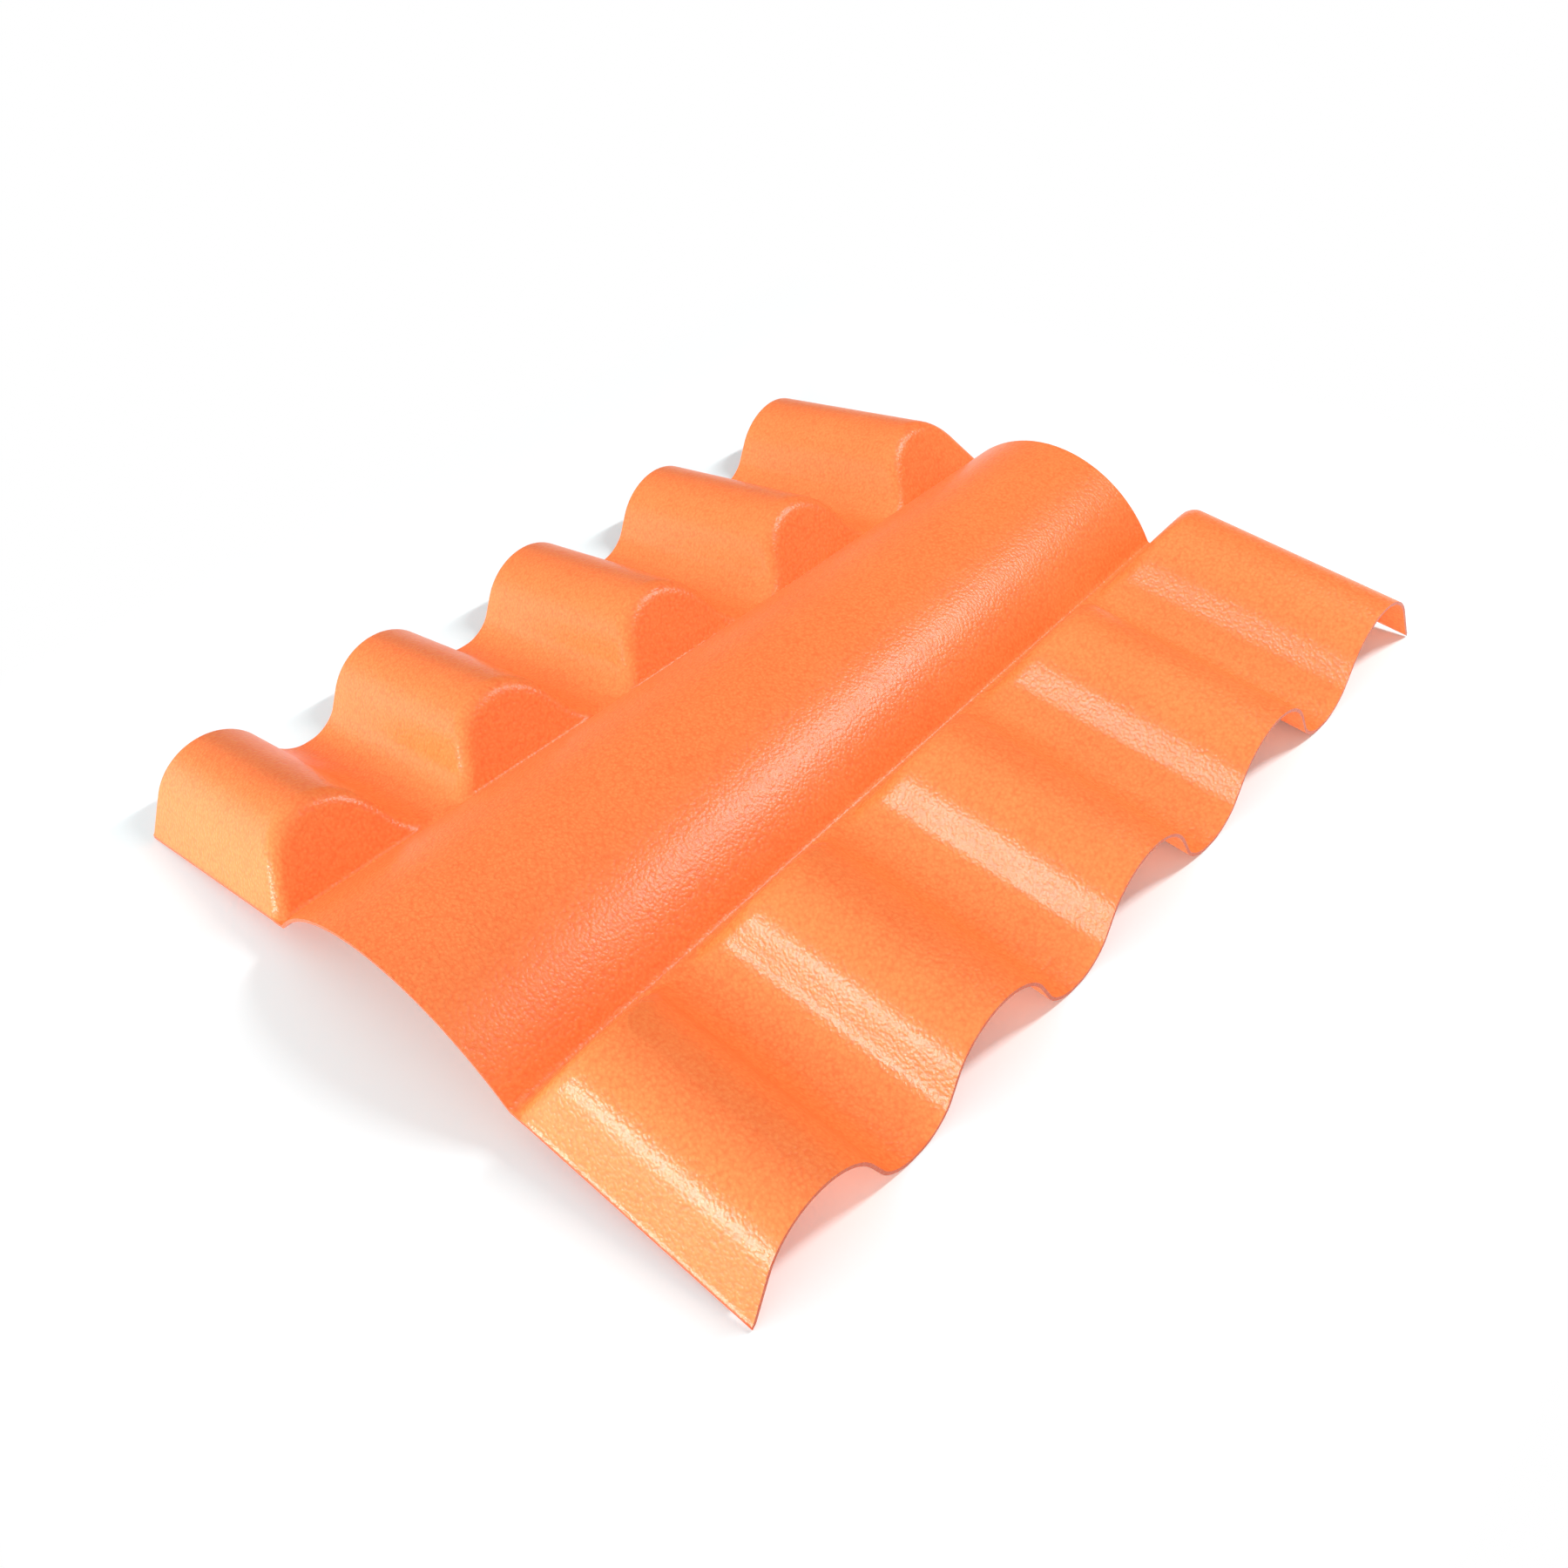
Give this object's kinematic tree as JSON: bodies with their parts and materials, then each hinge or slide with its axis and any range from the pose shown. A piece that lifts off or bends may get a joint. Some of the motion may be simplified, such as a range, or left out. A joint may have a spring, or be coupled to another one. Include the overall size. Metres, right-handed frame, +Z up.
{
  "type": "plastic ridge cap",
  "caption": "Moulded plastic ridge cap: a tapered half-round barrel with a low wing of half-round rolls on each side, to cover the joint of two roof slopes.",
  "frame": {"origin": "middle of the footprint, on the floor that both eaves stand on", "axes": "+X across the ridge, +Y along the ridge toward the narrow end of the barrel, +Z up"},
  "size_m": [0.624, 0.758, 0.0926],
  "materials": {
    "orange_plastic": "semi-gloss with a fine moulded pebble grain"
  },
  "bodies": {
    "root": {"ridge_cap": "orange_plastic"}
  },
  "joints": []
}
